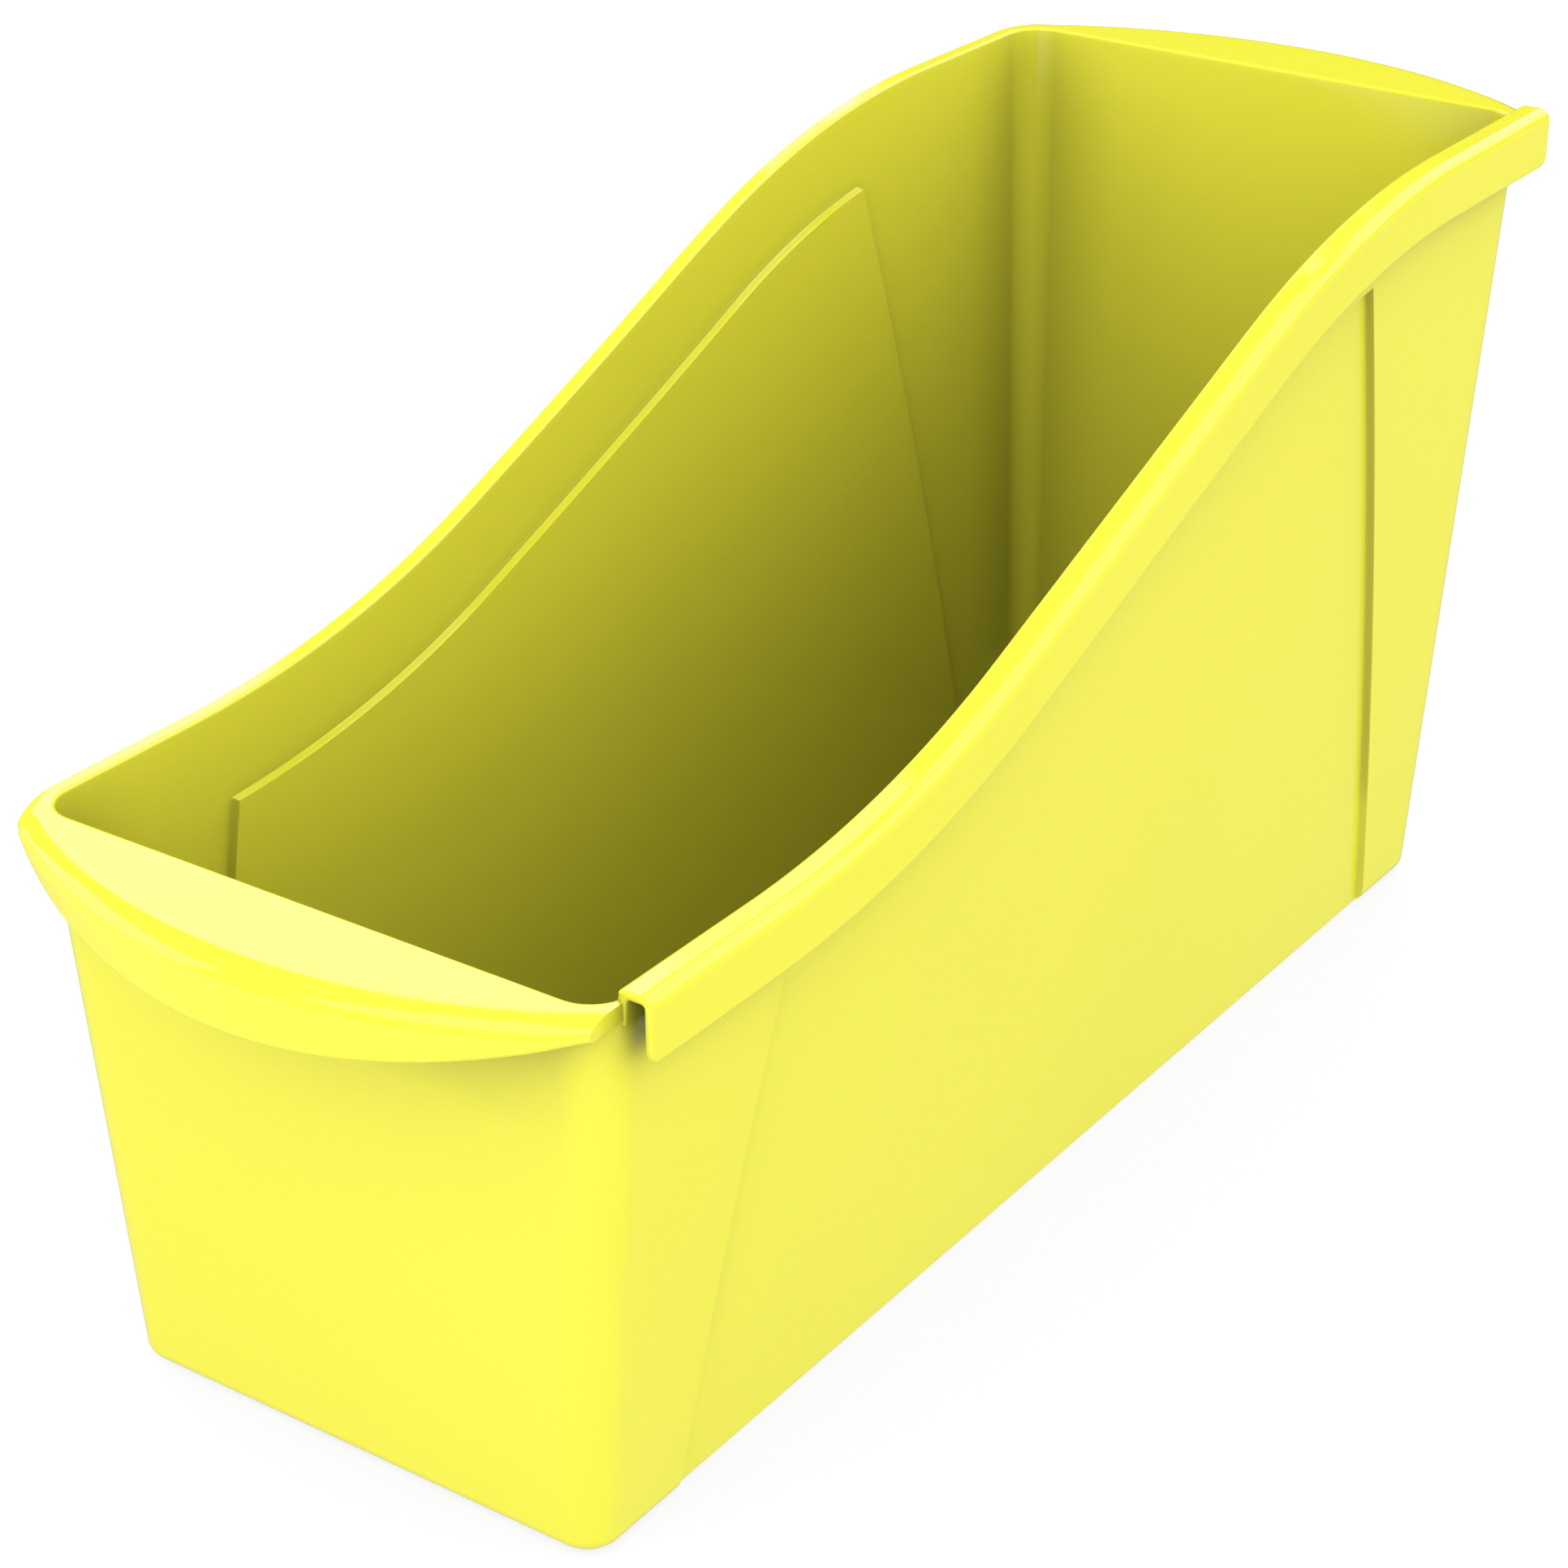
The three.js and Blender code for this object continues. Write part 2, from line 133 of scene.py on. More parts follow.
# How finely the bin is cut up.
TURN = math.pi / 2
END_WALL_STEPS = 28
CORNER_STEPS = 10
AHEAD_STEPS = 6  # of the panel, along a side wall
PANEL_STEPS = 80
BEHIND_STEPS = 14
WALL_STEPS = 12
RIM_STEPS = 3
FLOOR_STEPS = 6
BASE_STEPS = 7
LIP_STEPS = 14
HOLLOW_STEPS = 5
EDGE_STEPS = 4
FILLET_STEPS = 3
RAIL_STEPS = 110
RAIL_ROUND_STEPS = 8
SHARP_ANGLE = 32  # degrees
CUT_TOLERANCE = 1e-6

# Plastic. Noises are given by their scale and detail, bumps by their strength and height.
YELLOW = (0.85, 0.816, 0.052, 1)
YELLOW_CLOUDED = (0.87, 0.835, 0.058, 1)
# Painted light: level faces are given a paler yellow, as if lit more from above.
YELLOW_LIT_LEVEL = (0.96, 0.93, 0.056, 1)
LIT_LEVEL_NORMAL = (0.6, 0.9)  # upward part of the normal, from no painted top light to all of it
CLOUD_NOISE = (9.0, 3.0)
CLOUD_CONTRAST = (0.35, 0.65)
# Painted shade: the colour darkens where ambient occlusion finds creases, corners, steps and overhangs.
CREASE_SHADE = (0.45, 0.45, 0.5, 1)  # painted shade: share of the colour kept in the darkest creases
CREASE_REACH = 0.025
CREASE_SAMPLES = 4
CREASE_OPENNESS = (0.3, 0.95)  # from the darkest painted shade to none
CREASE_NORMAL = (0.1, 0.6)  # upward part of the normal, from full painted shade to none
CREASE_HEIGHT = (0.026, 0.045)  # above the base, from no painted shade to full
BOUNCE = 0.12  # share of its own colour that the plastic keeps for light going from wall to wall
REFRACTION = 1.49
GLOSS_NOISE = (60.0, 4.0)
GLOSS_CONTRAST = (0.3, 0.7)
GLOSS_ROUGHNESS = (0.065, 0.10)
GRAIN_NOISE = (1500.0, 2.0)
GRAIN = (0.015, 0.0002)
RIPPLE_NOISE = (14.0, 1.0)
RIPPLE = (0.004, 0.002)

# Studio, with angles in degrees. A soft box has the azimuth of its middle, from the back towards the right,
# half its width, its low and high edge, and its strength.
ROOM_LIGHT = 1.52
FRONT_BIAS = 0.2
ZENITH_DIMMING = 0.55
ZENITH_START = 45
ZENITH_END = 70
REFLECTED_ROOM = 0.05
BOX_EDGE = 0.8
SOFT_BOXES = (
    (-49.2, 11.8, 24, 33, 2.8),
    (-33.8, 3.6, 24, 34, 1.3),
    (-42, 6, 34.5, 46, 2.0),
    (8, 29, 18, 52, 2.2),
    (54, 17, 12, 72, 2.2),
    (-4, 40, 60, 77, 2.2),
    (-115, 22, 2, 32, 2.4),
    (180, 26, 28, 68, 2.4),
)
FLOOR_SIZE = 12
FLOOR_DROP = 0.0003
FLOOR_GREY = (0.25, 0.25, 0.25, 1)
FLOOR_ROUGHNESS = 0.9
FLOOR_SPECULAR = 0.1
FLOOR_GLOW = (0.55, 0.8)  # its own light, as the bin and as the camera see it
FLOOR_MIRRORED = (1.1, 0.5)  # its strength in reflections, ahead of the bin and beside it
FLOOR_MIRRORED_Y = (-0.4, -0.1)  # where the change between them starts and ends
WHITE = (1, 1, 1, 1)

# Camera: right of the bin's middle and ahead of its base, turned down and left by some degrees.
CAMERA_RIGHT = 0.3619
CAMERA_AHEAD = 0.3854
CAMERA_HEIGHT = 0.4005
CAMERA_DOWN = 27.01
CAMERA_LEFT = 34.92
CAMERA_SENSOR = 36
CAMERA_LENS = 83.7
CAMERA_NEAREST = 0.01


def lerp(a, b, t):
    return a + (b - a) * t


def smooth(t):
    t = min(max(t, 0.0), 1.0)
    return t * t * (3 - 2 * t)


def soft_minimum(a, b, width):
    h = max(width - abs(a - b), 0.0) / width
    return min(a, b) - h * h * width / 4


def from_front(distance):
    return distance - HALF_LENGTH


def rim_height(y):
    """Height of the rim line: level, an incline, level, with round bends between."""
    start = from_front(INCLINE_START)
    end = from_front(INCLINE_END)
    slope = math.atan2(RIM_BACK - RIM_FRONT, end - start)
    tangent = RIM_BEND_RADIUS * math.tan(slope / 2)
    if y < start - tangent:
        return RIM_FRONT
    if y > end + tangent:
        return RIM_BACK
    if y < start + tangent * math.cos(slope):
        return RIM_FRONT + RIM_BEND_RADIUS - math.sqrt(RIM_BEND_RADIUS**2 - (y - start + tangent) ** 2)
    if y > end - tangent * math.cos(slope):
        return RIM_BACK - RIM_BEND_RADIUS + math.sqrt(RIM_BEND_RADIUS**2 - (end + tangent - y) ** 2)
    return RIM_FRONT + (y - start) * math.tan(slope)


def rim_slope(y):
    rise = rim_height(y + SLOPE_STEP) - rim_height(y - SLOPE_STEP)
    return math.atan2(rise, 2 * SLOPE_STEP)


def side_x(y, z):
    """Half the width over the outside of the side walls."""
    return lerp(HALF_BASE, HALF_RIM, z / rim_height(y))


def end_y(end, z):
    """Outside of the front wall (end -1) or the back wall (end 1) at a height."""
    return end * (HALF_LENGTH + (FRONT_DRAFT if end < 0 else BACK_DRAFT) * z)


def end_rim(end):
    return RIM_FRONT if end < 0 else RIM_BACK


def corner_radius(end, z):
    return lerp(CORNER_FOOT, CORNER_HEAD, z / end_rim(end))


def corner_centre(side, end, z):
    radius = corner_radius(end, z)
    half = lerp(HALF_BASE, HALF_RIM, z / end_rim(end))
    return side * (half - radius), end_y(end, z) - end * radius


def panel_edges(side, z):
    """Places along the bin of a panel's front and rear edge at a height."""
    shift = PANEL_LEFT_SHIFT if side < 0 else 0.0
    edges = []
    for foot, head, bow in (
        (PANEL_FRONT_FOOT, PANEL_FRONT_HEAD, PANEL_FRONT_BOW),
        (PANEL_REAR_FOOT, PANEL_REAR_HEAD, PANEL_REAR_BOW),
    ):
        top = rim_height(from_front(head) + shift) - PANEL_BELOW_RIM
        v = min(max(z / top, 0.0), 1.0)
        edges.append(from_front(lerp(foot, head, v)) + bow * 4 * v * (1 - v) + shift)
    return edges


class EndStation:
    """A place along a straight end wall."""

    def __init__(self, end, across):
        self.end = end
        self.across = across
        self.rim = end_rim(end)
        self.normal = Vector((0, end, 0))
        self.panel = 0.0

    def point(self, z, depth):
        x, y = corner_centre(1, self.end, z)
        radius = corner_radius(self.end, z)
        return Vector((x * self.across, y + self.end * (radius - depth), z))


class CornerStation:
    """A place on an upright corner; turn is 0 at the side wall and a quarter turn at the end wall."""

    def __init__(self, side, end, turn):
        self.side = side
        self.end = end
        self.turn = turn
        self.rim = end_rim(end)
        self.normal = Vector((side * math.cos(turn), end * math.sin(turn), 0))
        self.panel = 0.0

    def point(self, z, depth):
        x, y = corner_centre(self.side, self.end, z)
        radius = corner_radius(self.end, z) - depth
        return Vector((x + self.normal.x * radius, y + self.normal.y * radius, z))


class SideStation:
    """A place along a side wall: stretch 0 is ahead of the panel, 1 on it, 2 behind it, halves its edges."""

    def __init__(self, side, stretch, along):
        self.side = side
        self.stretch = stretch
        self.along = along
        self.normal = Vector((side, 0, 0))
        self.rim = rim_height(self.y_at(RIM_BACK))
        if stretch in (0.5, 1.5):
            inwards = along if stretch == 0.5 else -along
            self.panel = smooth((inwards + 1) / 2)
        else:
            self.panel = 1.0 if stretch == 1 else 0.0

    def y_at(self, z):
        front, rear = panel_edges(self.side, z)
        first = end_y(-1, min(z, RIM_FRONT)) + corner_radius(-1, min(z, RIM_FRONT))
        last = end_y(1, min(z, RIM_BACK)) - corner_radius(1, min(z, RIM_BACK))
        if self.stretch == 0:
            return lerp(first, front - STEP_CLEAR, self.along)
        if self.stretch == 0.5:
            return front + STEP_HALF * self.along
        if self.stretch == 1:
            return lerp(front + STEP_CLEAR, rear - STEP_CLEAR, self.along)
        if self.stretch == 1.5:
            return rear + STEP_HALF * self.along
        return lerp(rear + STEP_CLEAR, last, self.along)

    def point(self, z, depth):
        y = self.y_at(z)
        return Vector((self.side * (side_x(y, z) - depth), y, z))


def end_stations(end):
    """From the right corner to the left one."""
    return [EndStation(end, 1 - 2 * i / END_WALL_STEPS) for i in range(END_WALL_STEPS + 1)]


def corner_stations(side, end):
    """From the side wall to the end wall, both ends left out."""
    return [CornerStation(side, end, TURN * i / CORNER_STEPS) for i in range(1, CORNER_STEPS)]


def side_stations(side):
    """From the front corner to the back one."""
    stations = [SideStation(side, 0, i / AHEAD_STEPS) for i in range(AHEAD_STEPS)]
    stations += [SideStation(side, 0.5, k) for k in STEP_STATIONS]
    stations += [SideStation(side, 1, i / PANEL_STEPS) for i in range(1, PANEL_STEPS)]
    stations += [SideStation(side, 1.5, k) for k in STEP_STATIONS]
    stations += [SideStation(side, 2, i / BEHIND_STEPS) for i in range(1, BEHIND_STEPS + 1)]
    return stations


FRONT = end_stations(-1)
FRONT_LEFT = corner_stations(-1, -1)[::-1]
LEFT = side_stations(-1)
BACK_LEFT = corner_stations(-1, 1)
BACK = end_stations(1)[::-1]
BACK_RIGHT = corner_stations(1, 1)[::-1]
RIGHT = side_stations(1)[::-1]
FRONT_RIGHT = corner_stations(1, -1)
PERIMETER = FRONT + FRONT_LEFT + LEFT + BACK_LEFT + BACK + BACK_RIGHT + RIGHT + FRONT_RIGHT


def wall_levels(foot, rim):
    """Heights up a wall, from its foot to the seam, each with the share of the panel that shows there."""
    head = rim - PANEL_BELOW_RIM
    levels = [(lerp(foot, head - STEP_CLEAR, i / WALL_STEPS), 1.0) for i in range(WALL_STEPS + 1)]
    levels += [(head + STEP_HALF * k, 1 - smooth((k + 1) / 2)) for k in STEP_STATIONS[1:]]
    levels += [(lerp(head + STEP_CLEAR, rim - SEAM, i / RIM_STEPS), 0.0) for i in range(1, RIM_STEPS + 1)]
    return levels


def wall_rings(foot, depth):
    """Rings of points up the walls, at a depth behind their outside."""
    rings = []
    for ring in zip(*(wall_levels(foot, station.rim) for station in PERIMETER)):
        places = zip(PERIMETER, ring)
        rings.append([s.point(z, depth + PANEL_DEPTH * s.panel * share) for s, (z, share) in places])
    return rings


def inner_rings():
    """The inside of the tub, from the floor up to the seam."""
    rings = []
    for i in range(FLOOR_STEPS):
        angle = TURN * (1 - i / FLOOR_STEPS)
        inset = FLOOR_ROUND * (1 - math.cos(angle))
        z = FLOOR + FLOOR_ROUND * (1 - math.sin(angle))
        rings.append([s.point(z, WALL + PANEL_DEPTH * s.panel + inset) for s in PERIMETER])
    return rings + wall_rings(FLOOR + FLOOR_ROUND, WALL)


def outer_rings():
    """The outside of the tub, from the seam down to the base."""
    rings = wall_rings(BASE_ROUND, 0.0)[::-1]
    for i in range(1, BASE_STEPS + 1):
        angle = TURN * i / BASE_STEPS
        inset = BASE_ROUND * (1 - math.cos(angle))
        z = BASE_ROUND * (1 - math.sin(angle))
        rings.append([s.point(z, max(inset, PANEL_DEPTH * s.panel)) for s in PERIMETER])
    return rings


def arc_points(centre, across, upright, start, end, steps):
    """Points on an arc of an ellipse in a section, both ends included."""
    points = []
    for i in range(steps + 1):
        angle = lerp(start, end, i / steps)
        points.append((centre[0] + across * math.cos(angle), centre[1] + upright * math.sin(angle)))
    return points


def round_points(x, height, radius, start, end, steps):
    return arc_points((x, height), radius, radius, start, end, steps)


def lip_distance(end, origin, direction):
    """How far a lip's arc lies from a point, in a direction in plan."""
    centre = Vector((0, end_y(end, end_rim(end)) + end * (LIP_REACH - LIP_RADIUS), 0))
    offset = origin - centre
    offset.z = 0
    b = offset.dot(direction)
    return -b + math.sqrt(b * b - offset.length_squared + LIP_RADIUS**2)


def rim_shape(station):
    """Reach past the wall, rounding across, plate thickness and whole drop of the rim at a station."""
    flange_drop = PLATE + LEAST_SKIRT
    if isinstance(station, SideStation):
        return FLANGE_REACH, FLANGE_ROUND, PLATE, flange_drop
    outside = station.point(station.rim, 0)
    reach = lip_distance(station.end, outside, station.normal)
    share = 1.0
    plate = PLATE
    if isinstance(station, CornerStation) and station.side < 0:
        share = smooth(station.turn / TURN * LIP_GROWTH)
        radius = corner_radius(station.end, station.rim)
        centre = station.point(station.rim, radius)
        to_flange = (centre.x - left_lo.x) / math.cos(station.turn)
        to_arc = lip_distance(station.end, centre, station.normal)
        reach = soft_minimum(to_flange, to_arc, LIP_BLEND) - radius
    edge_x = min(outside.x + station.normal.x * reach, HALF_RIM - LIP_GAP)
    drop = max(LIP_DEPTH - LIP_ARCH * edge_x**2, flange_drop)
    if isinstance(station, CornerStation) and station.side > 0:
        plate = lerp(PLATE, drop - LEAST_SKIRT, smooth(LIP_CLOSING * (1 - station.turn / TURN)))
    return reach, lerp(FLANGE_ROUND, LIP_ROUND, share), plate, drop


def rim_section(reach, rounding, plate, drop):
    """Top, edge, skirt and underside of the rim: out from the inside of the wall, and up from the rim."""
    full = WALL + reach
    skirt = min(LIP_SKIRT, reach * SKIRT_SHARE)
    tip = skirt * TIP_SHARE
    fall = min(LIP_ROUND, drop - tip - LEAST_SKIRT)
    points = round_points(EDGE_ROUND, -EDGE_ROUND, EDGE_ROUND, math.pi, TURN, EDGE_STEPS)
    flat = full - rounding - EDGE_ROUND
    points += [(EDGE_ROUND + flat * t, 0.0) for t in FLAT_STOPS]
    points += arc_points((full - rounding, -fall), rounding, fall, TURN, 0.0, LIP_STEPS)
    points.append((full, lerp(-fall, tip - drop, 0.5)))
    points += round_points(full - tip, tip - drop, tip, 0.0, -TURN, EDGE_STEPS)
    room = HOLLOW_SHARE * (drop - plate)
    skirt_inside = full - skirt
    inner_tip = min(tip, room)
    start = skirt_inside + inner_tip
    points += round_points(start, inner_tip - drop, inner_tip, -TURN, -2 * TURN, EDGE_STEPS)[1:]
    inner_fall = min(fall - plate, room) if fall > plate else room
    inner_round = max(rounding - skirt, HOLLOW_ROUND)
    centre = (skirt_inside - inner_round, -plate - inner_fall)
    points += arc_points(centre, inner_round, inner_fall, 0.0, TURN, HOLLOW_STEPS)
    return points


def rim_row(station):
    """A ring of points round the rim at a station, down to the seam with the tub."""
    reach, rounding, plate, drop = rim_shape(station)
    rim = station.rim
    inside = station.point(rim - EDGE_ROUND, WALL)
    outside = station.point(rim - plate, 0)
    half = 0.5 * (WALL + reach)
    row = [station.point(rim - SEAM, WALL), station.point(rim - 0.5 * SEAM, WALL)]
    for across, height in rim_section(reach, rounding, plate, drop):
        base = inside if across < half else outside - station.normal * WALL
        row.append(Vector((base.x, base.y, rim + height)) + station.normal * across)
    fillet = min(FILLET, reach * FILLET_OF_REACH, FILLET_OF_SEAM * (SEAM - plate))
    middle = FILLET_MIDDLE * fillet
    for across, fall in ((fillet, 0.0), (middle, middle), (0.0, fillet)):
        row.append(station.point(rim - plate - fall, 0) + station.normal * across)
    row.append(station.point(rim - SEAM, 0))
    return row


def rail_section(drop):
    """Outline of the hook rail: place across the bin, and height over the rim line."""
    start = HALF_RIM - WALL + EDGE_ROUND
    bend = RAIL_OUTER - RAIL_ROUND
    bend_height = RAIL_TOP - RAIL_ROUND
    tip = RAIL_PLATE / 2
    skirt_fillet = RAIL_OUTER - RAIL_PLATE - FILLET
    wall_fillet = HALF_RIM + FILLET
    fillet_height = RAIL_TOP - RAIL_PLATE - FILLET
    points = round_points(start, RAIL_TOP - EDGE_ROUND, EDGE_ROUND, math.pi, TURN, EDGE_STEPS)
    points += [(lerp(start, bend, t), RAIL_TOP) for t in RAIL_TOP_STOPS]
    points += round_points(bend, bend_height, RAIL_ROUND, TURN, 0.0, RAIL_ROUND_STEPS)
    points += [(RAIL_OUTER, lerp(bend_height, tip - drop, t)) for t in RAIL_SIDE_STOPS]
    points += round_points(RAIL_OUTER - tip, tip - drop, tip, 0.0, -2 * TURN, RAIL_ROUND_STEPS)
    points += round_points(skirt_fillet, fillet_height, FILLET, 0.0, TURN, FILLET_STEPS)
    points += round_points(wall_fillet, fillet_height, FILLET, TURN, 2 * TURN, FILLET_STEPS)
    return points


def shrink(points, depth):
    """A closed outline moved into its own material by a depth."""
    moved = []
    for i, (x, z) in enumerate(points):
        ahead = points[(i + 1) % len(points)]
        behind = points[i - 1]
        along = Vector((ahead[0] - behind[0], ahead[1] - behind[1])).normalized()
        moved.append((x + along.y * depth, z - along.x * depth))
    return moved


def rail_stations():
    """Places along the rail, each with how far the round edge of an end face draws the outline in there."""
    edge_turns = [TURN * i / EDGE_STEPS for i in range(EDGE_STEPS + 1)]
    stops = [(RAIL_EDGE * (1 - math.cos(a)), RAIL_EDGE * (1 - math.sin(a))) for a in edge_turns]
    last_half = range(RAIL_ROUND_STEPS // 2 + 1, RAIL_ROUND_STEPS + 1)
    stops += [(RAIL_END_ROUND * (1 - math.cos(TURN * i / RAIL_ROUND_STEPS)), 0.0) for i in last_half]
    ahead = [(rail_lo.y + distance, depth) for distance, depth in stops]
    behind = [(rail_hi.y - distance, depth) for distance, depth in reversed(stops)]
    start, end = ahead[-1][0], behind[0][0]
    middle = [(lerp(start, end, i / RAIL_STEPS), 0.0) for i in range(1, RAIL_STEPS)]
    return ahead + middle + behind


def rail_rows():
    """Rings of points round the rail, square to the rim line, with their feet on the seam line.

    On the incline the tub's edge dips a little below that line and leaves a thin slit inside the right wall.
    """
    rows = []
    for y, depth in rail_stations():
        slope = rim_slope(y)
        rim = rim_height(y)
        from_end = min(y - rail_lo.y, rail_hi.y - y, RAIL_END_ROUND)
        lift = RAIL_END_ROUND - math.sqrt(RAIL_END_ROUND**2 - (RAIL_END_ROUND - from_end) ** 2)
        low = side_x(y, rim - SEAM)
        section = [(low - WALL, -SEAM)] + rail_section(RAIL_DROP - lift) + [(low, -SEAM)]
        row = []
        for x, height in shrink(section, depth):
            row.append(Vector((x, y - height * math.sin(slope), rim + height * math.cos(slope))))
        row[0] = Vector((low - WALL, y, rim - SEAM))
        row[-1] = Vector((low, y, rim - SEAM))
        rows.append(row)
    return rows


def cut_off_right(bm, limit):
    """Removes what lies further right than the limit and closes the cut with a flat face."""
    geometry = bm.verts[:] + bm.edges[:] + bm.faces[:]
    side = {"plane_co": (limit, 0, 0), "plane_no": (1, 0, 0)}
    bmesh.ops.bisect_plane(bm, geom=geometry, dist=CUT_TOLERANCE, clear_outer=True, **side)
    rim = [edge for edge in bm.edges if edge.is_boundary]
    bmesh.ops.edgeloop_fill(bm, edges=rim)


def closed_mesh(name, rows, right_limit):
    """A mesh from a ring of points per row, with a face over the first and the last ring."""
    bm = bmesh.new()
    grid = [[bm.verts.new(p) for p in row] for row in rows]
    size = len(grid[0])
    for lower, upper in zip(grid, grid[1:]):
        for j in range(size):
            k = (j + 1) % size
            bm.faces.new((lower[j], lower[k], upper[k], upper[j]))
    bm.faces.new(grid[0])
    bm.faces.new(grid[-1])
    if right_limit is not None:
        cut_off_right(bm, right_limit)
    bmesh.ops.recalc_face_normals(bm, faces=bm.faces)
    mesh = bpy.data.meshes.new(name)
    bm.to_mesh(mesh)
    bm.free()
    return mesh


def add_piece(name, rows, replaces, right_limit=None):
    """A shaded piece of the moulding in place of some nodes of the CAD."""
    mesh = closed_mesh(name, rows, right_limit)
    piece = bpy.data.objects.new(name, mesh)
    bpy.context.scene.collection.objects.link(piece)
    for polygon in mesh.polygons:
        polygon.use_smooth = True
    mesh.set_sharp_from_angle(angle=math.radians(SHARP_ANGLE))
    weighted = piece.modifiers.new("weighted", "WEIGHTED_NORMAL")
    weighted.keep_sharp = True
    mesh.materials.append(PLASTIC)
    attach(piece, "root")
    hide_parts(*replaces)


class Graph:
    """The node graph of a material or a world. Inputs take plain values or the outputs of other nodes."""

    def __init__(self, owner):
        owner.use_nodes = True
        self.nodes = owner.node_tree.nodes
        self.links = owner.node_tree.links

    def feed(self, node, inputs):
        for name, value in inputs.items():
            if isinstance(value, bpy.types.NodeSocket):
                self.links.new(value, node.inputs[name])
            else:
                node.inputs[name].default_value = value

    def maths(self, operation, *values):
        node = self.nodes.new("ShaderNodeMath")
        node.operation = operation
        self.feed(node, dict(enumerate(values)))
        return node.outputs["Value"]

    def mix(self, factor, a, b, data_type="RGBA", blend_type="MIX"):
        node = self.nodes.new("ShaderNodeMix")
        node.data_type = data_type
        node.blend_type = blend_type
        self.feed(node, {"Factor": factor, "A": a, "B": b})
        return node.outputs["Result"]

    def spread(self, value, source, target=(0.0, 1.0), interpolation="LINEAR"):
        """Carries one range of values over to another, and stays at its ends beyond them."""
        node = self.nodes.new("ShaderNodeMapRange")
        node.interpolation_type = interpolation
        self.feed(node, {"Value": value, "From Min": source[0], "From Max": source[1]})
        self.feed(node, {"To Min": target[0], "To Max": target[1]})
        return node.outputs["Result"]

    def noise(self, scale, detail):
        node = self.nodes.new("ShaderNodeTexNoise")
        self.feed(node, {"Vector": self.place("Object"), "Scale": scale, "Detail": detail})
        return node.outputs["Fac"]

    def bump(self, height, strength, distance):
        node = self.nodes.new("ShaderNodeBump")
        self.feed(node, {"Height": height, "Strength": strength, "Distance": distance})
        return node

    def ray(self, kind):
        """1 for rays of a kind, 0 for others."""
        return self.nodes.new("ShaderNodeLightPath").outputs[f"Is {kind} Ray"]

    def place(self, kind):
        return self.nodes.new("ShaderNodeTexCoord").outputs[kind]

    def normal(self):
        return self.nodes.new("ShaderNodeNewGeometry").outputs["Normal"]

    def axis(self, vector, name):
        node = self.nodes.new("ShaderNodeSeparateXYZ")
        self.feed(node, {"Vector": vector})
        return node.outputs[name]


def unshaded_share(graph):
    """0 where the painted crease shade is darkest, 1 where there is none, on level faces and near the base.
    """
    # Painted shade: ambient occlusion sets how much the colour is darkened.
    crease = graph.nodes.new("ShaderNodeAmbientOcclusion")
    crease.samples = CREASE_SAMPLES
    graph.feed(crease, {"Distance": CREASE_REACH})
    open_air = graph.spread(crease.outputs["AO"], CREASE_OPENNESS)
    level = graph.spread(graph.axis(graph.normal(), "Z"), CREASE_NORMAL)
    near_base = graph.spread(graph.axis(graph.place("Object"), "Z"), CREASE_HEIGHT, (1.0, 0.0))
    return graph.maths("MAXIMUM", graph.maths("MAXIMUM", level, near_base), open_air)


def plastic_colour(graph):
    """Faint flow clouding, painted light on level faces, painted shade in creases, and less colour for light
    between walls.
    """
    clouding = graph.spread(graph.noise(*CLOUD_NOISE), CLOUD_CONTRAST)
    colour = graph.mix(clouding, YELLOW, YELLOW_CLOUDED)
    # Painted light: level faces are mixed towards a paler yellow, as if lit more from above.
    level = graph.spread(graph.axis(graph.normal(), "Z"), LIT_LEVEL_NORMAL)
    colour = graph.mix(level, colour, YELLOW_LIT_LEVEL)
    # Painted shade: the colour is darkened in creases, corners, steps and under the lips.
    shade = graph.mix(unshaded_share(graph), CREASE_SHADE, WHITE)
    colour = graph.mix(1.0, colour, shade, blend_type="MULTIPLY")
    return graph.mix(graph.ray("Diffuse"), colour, (BOUNCE, BOUNCE, BOUNCE, 1), blend_type="MULTIPLY")


def plastic_material():
    """Glossy moulded polypropylene: uneven gloss from handling, a fine eggshell grain and a slow ripple."""
    material = bpy.data.materials.new("yellow_polypropylene")
    graph = Graph(material)
    gloss = graph.spread(graph.noise(*GLOSS_NOISE), GLOSS_CONTRAST, GLOSS_ROUGHNESS)
    grain = graph.bump(graph.noise(*GRAIN_NOISE), *GRAIN)
    ripple = graph.bump(graph.noise(*RIPPLE_NOISE), *RIPPLE)
    graph.feed(ripple, {"Normal": grain.outputs["Normal"]})
    shader = graph.nodes["Principled BSDF"]
    graph.feed(shader, {"Base Color": plastic_colour(graph), "IOR": REFRACTION})
    graph.feed(shader, {"Roughness": gloss, "Normal": ripple.outputs["Normal"]})
    return material


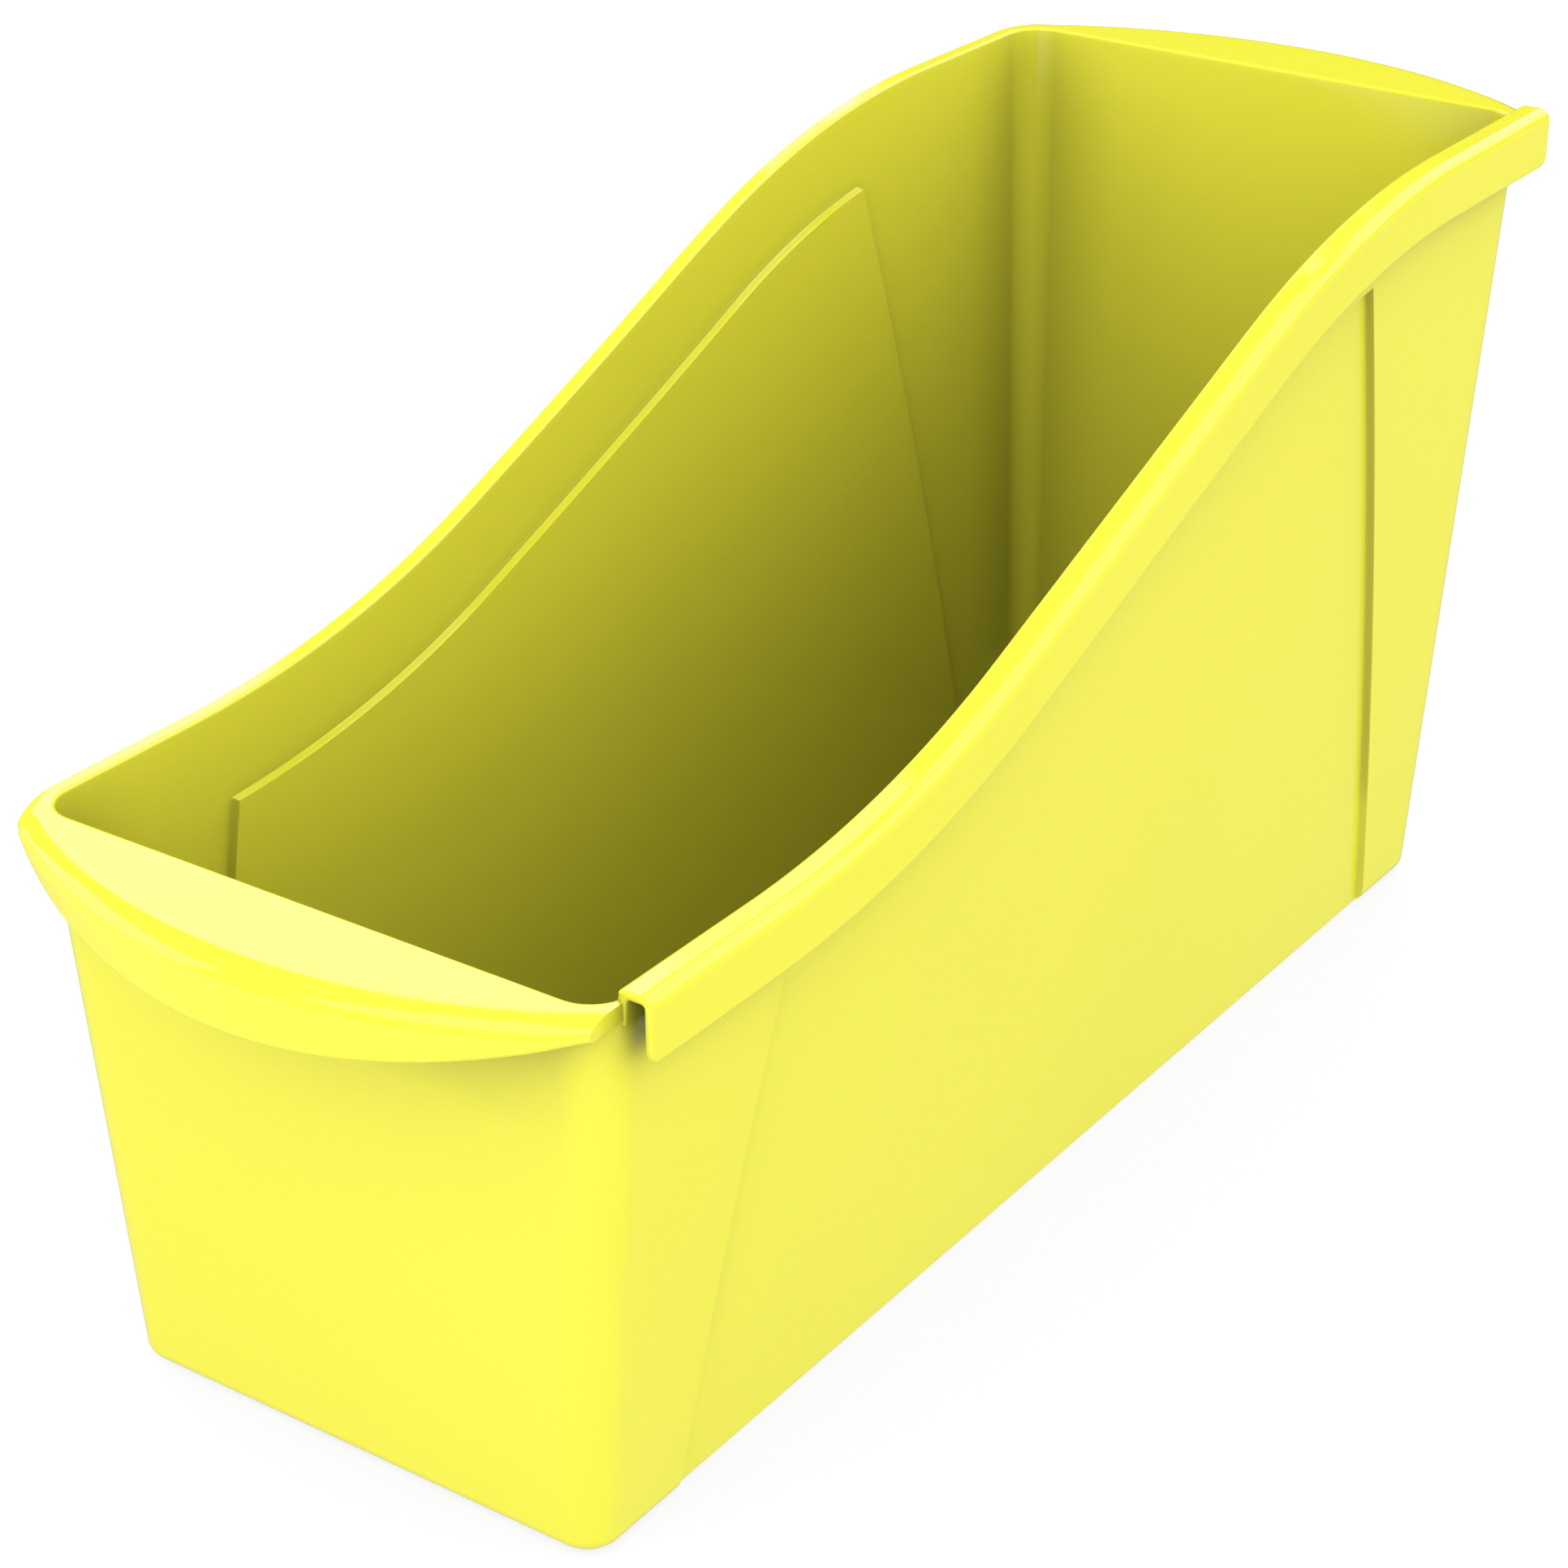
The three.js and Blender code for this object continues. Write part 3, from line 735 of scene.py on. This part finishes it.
def floor_material():
    """A white sweep that gives light of its own. Reflections in the bin see it at another strength."""
    material = bpy.data.materials.new("studio_floor")
    graph = Graph(material)
    shader = graph.nodes["Principled BSDF"]
    graph.feed(shader, {"Base Color": FLOOR_GREY, "Roughness": FLOOR_ROUGHNESS})
    graph.feed(shader, {"Specular IOR Level": FLOOR_SPECULAR, "Emission Color": WHITE})
    graph.feed(shader, {"Emission Strength": graph.spread(graph.ray("Camera"), (0.0, 1.0), FLOOR_GLOW)})
    mirrored = graph.nodes.new("ShaderNodeEmission")
    along = graph.axis(graph.place("Object"), "Y")
    graph.feed(mirrored, {"Strength": graph.spread(along, FLOOR_MIRRORED_Y, FLOOR_MIRRORED)})
    mix = graph.nodes.new("ShaderNodeMixShader")
    graph.feed(mix, {"Fac": graph.ray("Glossy"), 1: shader.outputs["BSDF"], 2: mirrored.outputs["Emission"]})
    graph.feed(graph.nodes["Material Output"], {"Surface": mix.outputs["Shader"]})
    return material


def add_floor():
    bpy.ops.mesh.primitive_plane_add(size=FLOOR_SIZE, location=(0, 0, -FLOOR_DROP))
    floor = bpy.context.object
    floor.name = "studio_floor"
    floor.data.materials.append(floor_material())


def window(graph, angle, half):
    """1 for angles within half, in degrees, of 0, fading to 0 over the edge of a soft box."""
    half = math.radians(half)
    edge = math.radians(BOX_EDGE)
    return graph.spread(graph.maths("ABSOLUTE", angle), (half + edge, half), interpolation="SMOOTHSTEP")


def soft_box(graph, x, y, elevation, middle, half_width, low, high):
    """1 in the directions of a soft box, 0 beside it."""
    sine = math.sin(math.radians(middle))
    cosine = math.cos(math.radians(middle))
    aside = graph.maths("MULTIPLY_ADD", x, cosine, graph.maths("MULTIPLY", y, -sine))
    ahead = graph.maths("MULTIPLY_ADD", x, sine, graph.maths("MULTIPLY", y, cosine))
    across = window(graph, graph.maths("ARCTAN2", aside, ahead), half_width)
    above = graph.maths("SUBTRACT", elevation, math.radians((low + high) / 2))
    return graph.maths("MULTIPLY", across, window(graph, above, (high - low) / 2))


def room_light(graph, y, elevation):
    """Even light from all round, a little more from the front and less from overhead."""
    ends = (math.radians(ZENITH_START), math.radians(ZENITH_END))
    overhead = graph.spread(elevation, ends, (0.0, -ZENITH_DIMMING * ROOM_LIGHT), "SMOOTHSTEP")
    return graph.maths("ADD", graph.maths("MULTIPLY_ADD", y, -FRONT_BIAS, ROOM_LIGHT), overhead)


def add_world():
    """A softly lit room. Reflections see it dark, with soft boxes in it, and the camera sees it white."""
    world = bpy.data.worlds.new("studio")
    bpy.context.scene.world = world
    graph = Graph(world)
    direction = graph.place("Generated")
    x = graph.axis(direction, "X")
    y = graph.axis(direction, "Y")
    elevation = graph.maths("ARCSINE", graph.axis(direction, "Z"))
    mirrored = REFLECTED_ROOM
    for *extent, strength in SOFT_BOXES:
        box = soft_box(graph, x, y, elevation, *extent)
        mirrored = graph.maths("MULTIPLY_ADD", box, strength, mirrored)
    seen = graph.mix(graph.ray("Glossy"), room_light(graph, y, elevation), mirrored, "FLOAT")
    seen = graph.mix(graph.ray("Camera"), seen, 1.0, "FLOAT")
    graph.feed(graph.nodes["Background"], {"Color": WHITE, "Strength": seen})


def add_camera():
    data = bpy.data.cameras.new("camera")
    camera = bpy.data.objects.new("camera", data)
    bpy.context.scene.collection.objects.link(camera)
    data.sensor_width = CAMERA_SENSOR
    data.lens = CAMERA_LENS
    data.clip_start = CAMERA_NEAREST
    camera.location = (CAMERA_RIGHT, from_front(-CAMERA_AHEAD), CAMERA_HEIGHT)
    camera.rotation_euler = (math.radians(90 - CAMERA_DOWN), 0, math.radians(CAMERA_LEFT))
    bpy.context.scene.camera = camera


PLASTIC = plastic_material()

tub_nodes = ("floor", "front_wall", "back_wall", "left_wall", "right_wall")
around_front = FRONT_RIGHT[1:] + FRONT + FRONT_LEFT + LEFT[:1]
around_back = LEFT[-1:] + BACK_LEFT + BACK + BACK_RIGHT[:-1]
add_piece("tub_skin", inner_rings() + outer_rings(), tub_nodes)
add_piece("front_lip_skin", [rim_row(s) for s in around_front], ("front_grip",), HALF_RIM - LIP_GAP)
add_piece("left_rim_skin", [rim_row(s) for s in LEFT], ("left_rim",))
add_piece("back_lip_skin", [rim_row(s) for s in around_back], ("back_lip",), HALF_RIM - LIP_GAP)
add_piece("hook_rail_skin", rail_rows(), ("hook_rail",))

add_floor()
add_world()
add_camera()
bpy.context.scene.view_settings.view_transform = "Standard"
